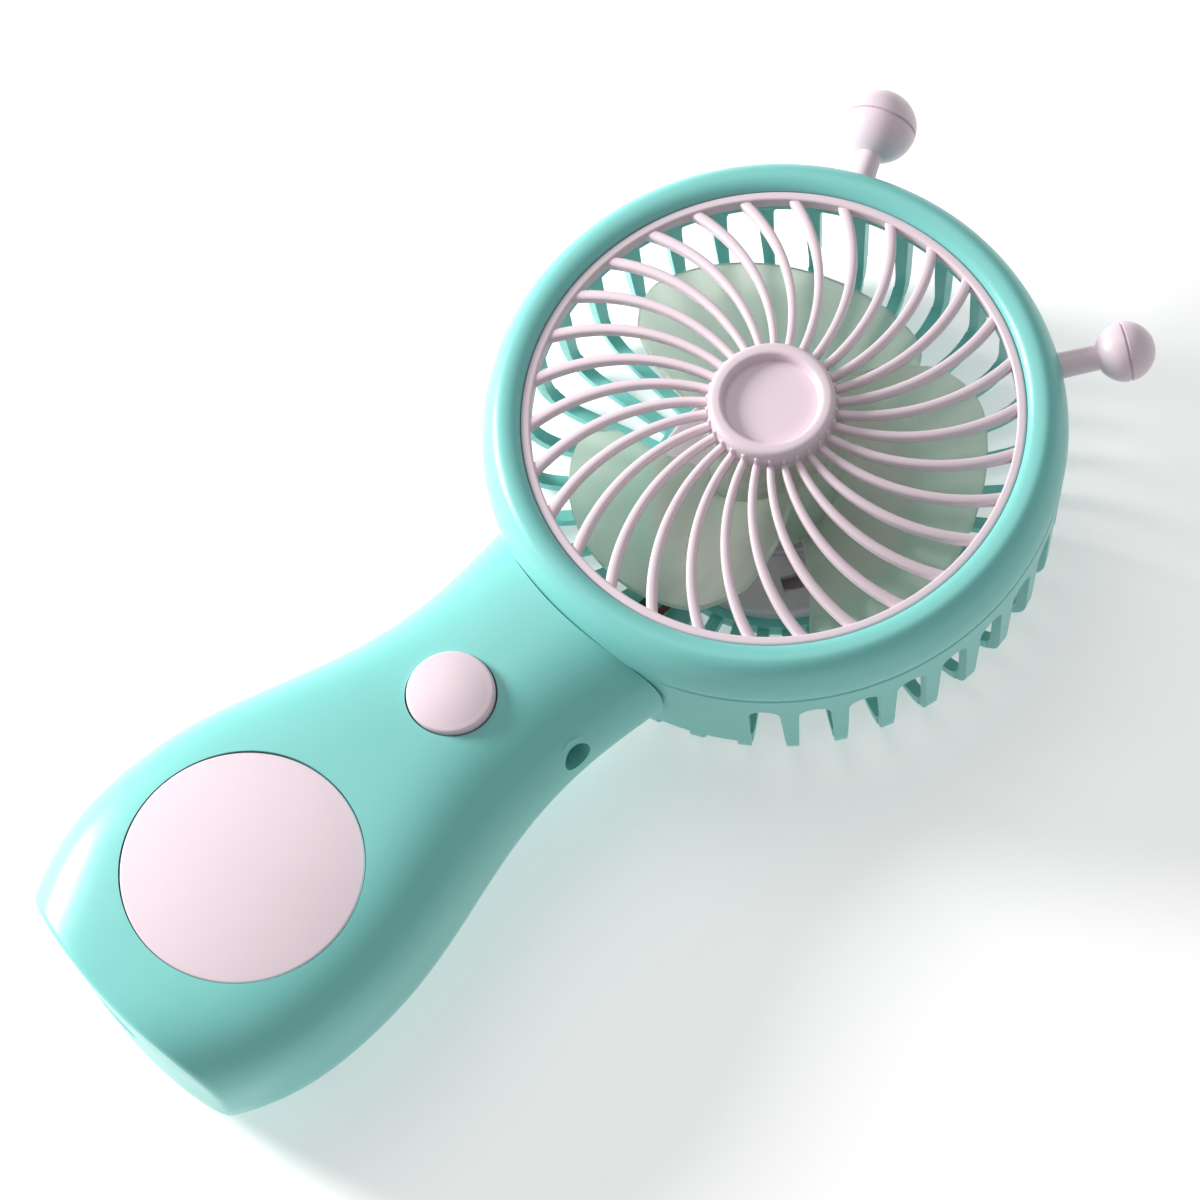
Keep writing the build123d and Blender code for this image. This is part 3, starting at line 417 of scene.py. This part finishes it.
# radius of a blade's tip, by share of the way from its front edge to its rear edge
tip = natural_spline(
    np.array((0.0, 0.05, 0.14, 0.35, 0.65, 0.88, 0.95, 1.0)),
    np.array((30.2, 34.0, 36.0, 36.5, 36.5, 35.9, 34.2, 30.6)),
)
shape = bmesh.new()
for blade in range(BLADES):
    sheet = bmesh.new()
    rows = []
    for i in range(CHORD_STEPS + 1):
        share = 0.5 - 0.5 * math.cos(math.pi * i / CHORD_STEPS)
        length = tip(share)
        height = BLADE_HIGH_Z - BLADE_FALL * share
        row = []
        for j in range(LENGTH_STEPS + 1):
            radius = HUB_CUP_R - BLADE_OVERLAP + (length - HUB_CUP_R + BLADE_OVERLAP) * j / LENGTH_STEPS
            inward = min(1.0, max(0.0, 1 - (radius - HUB_CUP_R) / (BLADE_R - HUB_CUP_R)))
            sweep = BLADE_SWEEP * inward**SWEEP_POWER * (1 - SWEEP_FADE * share)
            angle = math.radians(BLADE_FRONT + 360 / BLADES * blade + sweep - BLADE_SPAN * share)
            row.append(Vector((radius * math.cos(angle), radius * math.sin(angle), height)))
        rows.append(row)
    grid(sheet, rows)
    bmesh.ops.recalc_face_normals(sheet, faces=sheet.faces)
    mesh = bpy.data.meshes.new("blade_sheet")
    sheet.to_mesh(mesh)
    sheet.free()
    blade_object = add_object("blade_sheet", mesh)
    solid = blade_object.modifiers.new("thick", "SOLIDIFY")
    solid.thickness = BLADE_T
    solid.offset = 0
    solid.use_even_offset = False
    round_edge = blade_object.modifiers.new("edge", "BEVEL")
    round_edge.width = 0.35
    round_edge.segments = 2
    round_edge.limit_method = "ANGLE"
    round_edge.angle_limit = math.radians(50)
    depsgraph = bpy.context.evaluated_depsgraph_get()
    made = bpy.data.meshes.new_from_object(blade_object.evaluated_get(depsgraph))
    shape.from_mesh(made)
    bpy.data.objects.remove(blade_object)
lathe(shape, soften((
    (HUB_CUP_INNER_R, HUB_CUP_LOW_Z, 0.2), (HUB_CUP_R, HUB_CUP_LOW_Z, 0.25),
    (HUB_CUP_R, HUB_CUP_HIGH_Z, 1.8), (0, HUB_CUP_HIGH_Z + 0.3, 0),
    (0, BORE_END_Z, 0), (BORE_R, BORE_END_Z, 0), (BORE_R, BORE_START_Z, 0.1), (BORE_WALL_R, BORE_START_Z, 0.2),
    (BORE_WALL_R, HUB_CUP_ROOF_Z, 0.5), (HUB_CUP_INNER_R, HUB_CUP_ROOF_Z, 0.5),
), 6), segments=128)
place_piece(to_object("impeller_fan", shape), "impeller_frost", "impeller", ["impeller"], 40)

# ------------------------------------------------------------------ handle
RIM_STEPS, CAP_RINGS = 5, 10
# rounds that find where a line along the handle meets the neck and the base, and where they start
END_PASSES, FIRST_ENDS_Y = 12, (-49.0, -146.0)
ORDER = np.argsort(STATIONS[:, 0])
CURVES = [natural_spline(STATIONS[ORDER, 0], STATIONS[ORDER, k]) for k in range(1, 6)]


def section(angle, y, inset):
    """x and z of the handle's outer surface, at an angle round the section at y."""
    half_w, front_z, back_z, front_power, back_power = [curve(y) for curve in CURVES]
    power = 2 / (front_power if math.sin(angle) >= 0 else back_power)
    x = math.copysign(abs(math.cos(angle)) ** power, math.cos(angle)) * (half_w - inset)
    z = math.copysign(abs(math.sin(angle)) ** power, math.sin(angle)) * ((front_z - back_z) / 2 - inset)
    return x, (front_z + back_z) / 2 + z


def base_y(x, z, inset):
    """y of the gently convex, slightly slanted base below a point."""
    along = BASE_Y + BASE_R - math.sqrt((BASE_R - inset) ** 2 - x**2)
    up = (z - BASE_MID_Z - along * math.sin(BASE_SLANT)) / math.cos(BASE_SLANT)
    return along * math.cos(BASE_SLANT) - up * math.sin(BASE_SLANT)


def neck_y(x, radius):
    return -math.sqrt(radius**2 - x**2)


def handle_shape(inset, neck_radius, around=176, rows_along=84):
    """Closed surface of the handle, from the neck to the base, with a rounded base edge."""
    rows = [[] for _ in range(rows_along + 1)]
    edge = BASE_EDGE_R if inset == 0 else INNER_EDGE_R
    rim = [[] for _ in range(RIM_STEPS)]
    for j in range(around):
        angle = 2 * math.pi * (j + 0.5) / around
        top, bottom = FIRST_ENDS_Y
        for _ in range(END_PASSES):
            x, z = section(angle, top, inset)
            top = neck_y(x, neck_radius)
            x, z = section(angle, bottom, inset)
            bottom = base_y(x, z, inset) + edge
        for i in range(rows_along + 1):
            y = top + (bottom - top) * i / rows_along
            x, z = section(angle, y, inset)
            rows[i].append(Vector((x, y, z)))
        for k in range(1, RIM_STEPS + 1):
            turn = math.pi / 2 * k / RIM_STEPS
            x, z = section(angle, bottom - edge * math.sin(turn), inset + edge * (1 - math.cos(turn)))
            rim[k - 1].append(Vector((x, base_y(x, z, inset) + edge * (1 - math.sin(turn)), z)))
    caps_top, caps_base = [], []
    for k in range(1, CAP_RINGS + 1):
        scale = 1 - k / (CAP_RINGS + 0.5)
        near_neck, near_base = (
            [(p.x * scale, HANDLE_MID_Z + (p.z - HANDLE_MID_Z) * scale) for p in row] for row in (rows[0], rim[-1])
        )
        caps_top.append([Vector((x, neck_y(x, neck_radius), z)) for x, z in near_neck])
        caps_base.append([Vector((x, base_y(x, z, inset), z)) for x, z in near_base])
    shape = bmesh.new()
    verts = grid(shape, caps_top[::-1] + rows + rim + caps_base, close_columns=True)
    shape.faces.new(verts[0])
    shape.faces.new(verts[-1])
    return to_object("handle_part", shape)


def combine(base, tool, operation):
    """Boolean of two objects; the tool is removed."""
    step = base.modifiers.new("cut", "BOOLEAN")
    step.object = tool
    step.operation = operation
    step.solver = "EXACT"
    depsgraph = bpy.context.evaluated_depsgraph_get()
    mesh = bpy.data.meshes.new_from_object(base.evaluated_get(depsgraph))
    base.modifiers.clear()
    base.data = mesh
    bpy.data.objects.remove(tool)


def block(x, y, z):
    """Closed box between pairs of limits, as a bmesh."""
    low, high = Vector((x[0], y[0], z[0])), Vector((x[1], y[1], z[1]))
    shape = bmesh.new()
    bmesh.ops.create_cube(shape, size=1)
    bmesh.ops.scale(shape, vec=high - low, verts=shape.verts)
    bmesh.ops.translate(shape, vec=(low + high) / 2, verts=shape.verts)
    return shape


def rod(shape, centre, direction, radius, low, high, segments=96):
    """Closed cylinder added to a bmesh."""
    stand = Matrix.Translation(centre) @ Vector(direction).to_track_quat("Z", "X").to_matrix().to_4x4()
    lathe(shape, [(0, low), (radius, low), (radius, high), (0, high)], stand, segments)


DISC_MID = Vector(((DISC_LOW.x + DISC_HIGH.x) / 2, (DISC_LOW.y + DISC_HIGH.y) / 2, 0))
DISC_R = (DISC_HIGH.x - DISC_LOW.x) / 2
BUTTON_MID = Vector((0, (BUTTON_LOW.y + BUTTON_HIGH.y) / 2, 0))
DISC_GAP, DISC_PAD_Z = 0.16, (31.4, 33.7)
BUTTON_R, BUTTON_GAP = 7.5, 0.3
LANYARD = Vector((0, -63.0, 21.8))
LANYARD_R, LANYARD_TUBE_R, LANYARD_TUBE_HALF = 2.7, 3.9, 18.7
LANYARD_TILT = math.radians(6)
LANYARD_AXIS = (math.cos(LANYARD_TILT), 0, math.sin(LANYARD_TILT))
# x, y and seat of a screw, mirrored to the other side
SCREWS = ((15.2, -77.0, 10.9), (21.6, -125.5, 6.6))
SCREW_RECESS_R = 2.5
PORT_W, PORT_H, PORT_CORNER = 9.3, 3.6, 1.4
LIGHT_X, LIGHT_R = -13.0, 1.32

handle = handle_shape(0, NECK_R)
combine(handle, handle_shape(WALL, NECK_R - NECK_WALL), "DIFFERENCE")
inside = bmesh.new()
rod(inside, LANYARD, LANYARD_AXIS, LANYARD_TUBE_R, -LANYARD_TUBE_HALF, LANYARD_TUBE_HALF)
rod(inside, DISC_MID, (0, 0, 1), DISC_R + WALL, *DISC_PAD_Z, 160)
combine(handle, to_object("handle_inside", inside), "UNION")
cut = bmesh.new()
rod(cut, LANYARD, LANYARD_AXIS, LANYARD_R, -30, 30)
rod(cut, DISC_MID, (0, 0, 1), DISC_R + DISC_GAP, DISC_LOW.z, 40, 256)
rod(cut, BUTTON_MID, (0, 0, 1), BUTTON_R + BUTTON_GAP, 29, 40, 160)
rod(cut, (LIGHT_X, BASE_Y, BASE_MID_Z), (0, -1, 0), LIGHT_R, -6, 3, 48)
for side in (-1, 1):
    for x, y, seat in SCREWS:
        rod(cut, (side * x, y, 0), (0, 0, 1), SCREW_RECESS_R, -4, seat, 48)
combine(handle, to_object("handle_cut", cut), "DIFFERENCE")
port = block(
    (-PORT_W / 2, PORT_W / 2), (BASE_Y - 3, BASE_Y + 6), (BASE_MID_Z - PORT_H / 2, BASE_MID_Z + PORT_H / 2)
)
bmesh.ops.bevel(
    port, geom=[e for e in port.edges if abs((e.verts[0].co - e.verts[1].co).y) > 1],
    offset=PORT_CORNER, segments=6, affect="EDGES", profile=0.5,
)
combine(handle, to_object("handle_port", port), "DIFFERENCE")
rear = add_object("handle_back_shell", handle.data.copy())
front_half = block((-60, 60), (-170, 0), (SPLIT_Z + SPLIT_GAP, 60))
rear_half = block((-60, 60), (-170, 0), (-20, SPLIT_Z - SPLIT_GAP))
combine(handle, to_object("front_half", front_half), "INTERSECT")
combine(rear, to_object("rear_half", rear_half), "INTERSECT")
handle.name = "handle_face_shell"
place_piece(handle, "mint_shell", replaces=["handle_front"], sharp=30)
place_piece(rear, "mint_shell", replaces=["handle_rear"], sharp=30)

# ------------------------------------------------------------------ handle trim: disc and button
shape = bmesh.new()
DISC_EDGE_Z, DISC_EDGE_R = 34.95, 0.35
rim_curve = [
    (DISC_R - DISC_EDGE_R + DISC_EDGE_R * math.cos(a), DISC_EDGE_Z - DISC_EDGE_R + DISC_EDGE_R * math.sin(a))
    for a in np.linspace(0, 1.4, 6)
]
crown = dome_points(DISC_R - 0.32, DISC_EDGE_Z, DISC_HIGH.z, 28)
underside = [(0, DISC_LOW.z), (DISC_R, DISC_LOW.z)]
lathe(shape, underside + rim_curve + crown, Matrix.Translation(DISC_MID), 256)
place_piece(to_object("disc_plate", shape), "pink_trim", replaces=["handle_disc"])

shape = bmesh.new()
POST_R, FLANGE_R = 2.0, 8.8
POST_Z, FLANGE_LOW_Z, FLANGE_HIGH_Z = 28.8, 29.8, 30.6
CROWN_R, CROWN_Z = BUTTON_R - 1.1, 35.08
side_wall = soften((
    (0, POST_Z, 0), (POST_R, POST_Z, 0.1), (POST_R, FLANGE_LOW_Z, 0.1), (FLANGE_R, FLANGE_LOW_Z, 0.1),
    (FLANGE_R, FLANGE_HIGH_Z, 0.1), (BUTTON_R, FLANGE_HIGH_Z, 0.1), (BUTTON_R, 34.85, 0.75), (CROWN_R, CROWN_Z, 0),
), 8)
crown = dome_points(CROWN_R, CROWN_Z, BUTTON_HIGH.z, 20)
lathe(shape, side_wall + crown[1:], Matrix.Translation(BUTTON_MID), 160)
place_piece(to_object("button_top", shape), "pink_trim", "button", ["button_cap"])

# ------------------------------------------------------------------ CAD pieces that stay
SLOTS = {row["node"]: row["material_slot"] for row in frame["record"]["subparts"]}
for node, piece in frame["nodes"].items():
    piece.data.materials.clear()
    piece.data.materials.append(MATERIALS[SLOTS[node]])

# ------------------------------------------------------------------ floor, light and camera
FLOOR_SIZE, FLOOR_Z = 6.0, -0.0002
WORLD_STRENGTH = 0.34
floor_shape = bmesh.new()
bmesh.ops.create_grid(floor_shape, x_segments=1, y_segments=1, size=FLOOR_SIZE / 2)
floor_mesh = bpy.data.meshes.new("floor")
floor_shape.to_mesh(floor_mesh)
floor_shape.free()
floor = add_object("floor", floor_mesh)
floor.location.z = FLOOR_Z
floor_mesh.materials.append(finish(
    "pale_floor", (0.90, 0.90, 0.90), 0.75, 0.01, 300, 0.02, 3.0,
    Emission_Color=(1, 1, 1, 1), Emission_Strength=0.36,
))

world = bpy.data.worlds.new("studio")
world.use_nodes = True
background = world.node_tree.nodes["Background"]
background.inputs["Color"].default_value = (1.0, 1.0, 1.0, 1)
background.inputs["Strength"].default_value = WORLD_STRENGTH
scene.world = world
scene.view_settings.view_transform = "Standard"
scene.view_settings.look = "None"

TARGET = Vector((0, -60.0, 38.0))


def softbox(name, azimuth, elevation, distance, size, power, tint=(1, 1, 1)):
    """Round light that looks at the middle of the object, from an azimuth counted from +X."""
    angle, rise = math.radians(azimuth), math.radians(elevation)
    flat = distance * math.cos(rise)
    place = TARGET + Vector((flat * math.cos(angle), flat * math.sin(angle), distance * math.sin(rise)))
    lamp = bpy.data.lights.new(name, "AREA")
    lamp.shape = "DISK"
    lamp.size = size * MM
    lamp.energy = power
    lamp.color = tint
    light = bpy.data.objects.new(name, lamp)
    light.location = place * MM
    light.rotation_euler = (place - TARGET).to_track_quat("Z", "Y").to_euler()
    scene.collection.objects.link(light)


softbox("key", 205, 22, 620, 230, 6.1, (1.0, 0.985, 0.97))
softbox("top", 160, 62, 1100, 700, 1.9)

# camera: direction that it looks from, its roll, and how far the view's middle is from TARGET
VIEW_AZIMUTH, VIEW_ELEVATION, VIEW_ROLL = (math.radians(a) for a in (57.77, 65.17, -10.36))
VIEW_DISTANCE, VIEW_RIGHT, VIEW_UP = 832.9, -15.48, -5.745
LENS, SENSOR = 150.0, 36.0
back_axis = Vector((
    math.sin(VIEW_AZIMUTH) * math.cos(VIEW_ELEVATION),
    -math.cos(VIEW_AZIMUTH) * math.cos(VIEW_ELEVATION),
    math.sin(VIEW_ELEVATION),
))
level = Vector((math.cos(VIEW_AZIMUTH), math.sin(VIEW_AZIMUTH), 0))
upright = back_axis.cross(level)
right_axis = level * math.cos(VIEW_ROLL) + upright * math.sin(VIEW_ROLL)
up_axis = upright * math.cos(VIEW_ROLL) - level * math.sin(VIEW_ROLL)
eye = TARGET - right_axis * VIEW_RIGHT - up_axis * VIEW_UP + back_axis * VIEW_DISTANCE
camera_data = bpy.data.cameras.new("camera")
camera_data.lens = LENS
camera_data.sensor_width = SENSOR
camera_data.clip_start = 0.05
camera_data.clip_end = 20
camera = bpy.data.objects.new("camera", camera_data)
turned = Matrix((right_axis, up_axis, back_axis)).transposed().to_4x4()
camera.matrix_world = Matrix.Translation(eye * MM) @ turned
scene.collection.objects.link(camera)
scene.camera = camera
